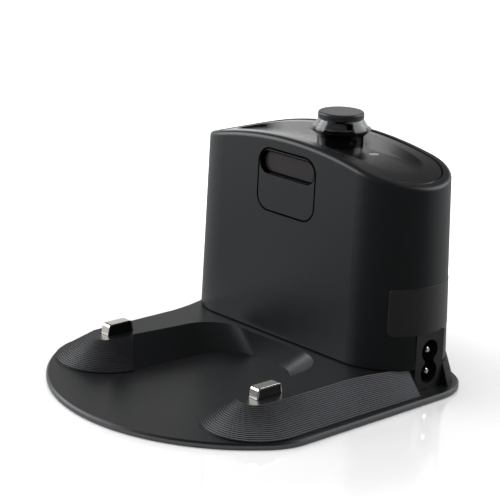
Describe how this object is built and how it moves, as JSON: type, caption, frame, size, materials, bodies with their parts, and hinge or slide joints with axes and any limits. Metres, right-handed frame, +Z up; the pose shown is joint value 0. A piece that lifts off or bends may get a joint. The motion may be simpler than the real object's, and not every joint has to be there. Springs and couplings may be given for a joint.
{
  "type": "robot vacuum charging dock",
  "caption": "Charging dock for a robot vacuum: ramped base with sprung contacts on two terraced arms, upright tower with infrared window, beacon on top and a mains inlet at the side.",
  "frame": {"origin": "centre of the overall box on the floor, under the rubber feet", "axes": "+Z up, -Y towards the front where the robot drives on, +X towards the mains inlet"},
  "size_m": [0.134, 0.1426, 0.1006],
  "materials": {
    "tower_plastic": "satin fine-textured black",
    "deck_plastic": "matt fine-textured dark grey",
    "cover_plastic": "matt black",
    "gloss_black": "high gloss black",
    "beacon_black": "gloss black",
    "clear_lens": "clear polished plastic",
    "cap_grey": "matt dark grey",
    "reflector_silver": "metallised",
    "indicator_clear": "frosted light pipe",
    "bezel_black": "satin black",
    "ir_dark": "dark infrared-passing plastic",
    "contact_nickel": "nickel plated, slightly brushed",
    "slider_plastic": "natural plastic",
    "spring_steel": "bright spring wire",
    "inlet_plastic": "matt black",
    "pin_nickel": "nickel plated",
    "rubber_dark": "matt",
    "screw_steel": "zinc plated",
    "board_green": "solder mask",
    "tape_yellow": "wound and taped",
    "capacitor_sleeve": "shrink sleeve",
    "choke_copper": "enamelled wire",
    "chip_black": "moulded",
    "fuse_sleeve": "sleeved glass",
    "sink_aluminium": "extruded",
    "connector_white": "moulded",
    "diode_clear": "clear epoxy"
  },
  "bodies": {
    "dock": {"tower_shell": "tower_plastic", "top_cover": "gloss_black", "beacon_base": "beacon_black", "beacon_lens": "clear_lens", "beacon_cap": "cap_grey", "beacon_reflector": "reflector_silver", "indicator_lens": "indicator_clear", "window_bezel": "bezel_black", "ir_window": "ir_dark", "base_deck": "deck_plastic", "inlet_body": "inlet_plastic", "inlet_pins": "pin_nickel", "bottom_cover": "cover_plastic", "rubber_feet": "rubber_dark", "cover_screws": "screw_steel", "tower_screws": "screw_steel", "board_screws": "screw_steel", "power_board": "board_green", "beacon_board": "board_green", "front_board": "board_green", "transformer": "tape_yellow", "bulk_capacitor": "capacitor_sleeve", "output_capacitor": "capacitor_sleeve", "line_choke": "choke_copper", "rectifier": "chip_black", "switch_transistor": "chip_black", "fuse": "fuse_sleeve", "heat_sink": "sink_aluminium", "output_connector": "connector_white", "beacon_emitter": "diode_clear", "indicator_diode": "diode_clear", "front_emitters": "diode_clear"},
    "contact_left": {"contact_left": "contact_nickel", "contact_slider_left": "slider_plastic", "contact_spring_left": "spring_steel"},
    "contact_right": {"contact_right": "contact_nickel", "contact_slider_right": "slider_plastic", "contact_spring_right": "spring_steel"}
  },
  "joints": [
    {"name": "contact_left_press", "type": "slide", "parent": "dock", "child": "contact_left", "axis": [0, 0, -1], "range_m": [0, 0.0024], "stiffness_N_per_m": 300, "springref_m": -0.002, "deforming": ["contact_spring_left"]},
    {"name": "contact_right_press", "type": "slide", "parent": "dock", "child": "contact_right", "axis": [0, 0, -1], "range_m": [0, 0.0024], "stiffness_N_per_m": 300, "springref_m": -0.002, "deforming": ["contact_spring_right"]}
  ]
}
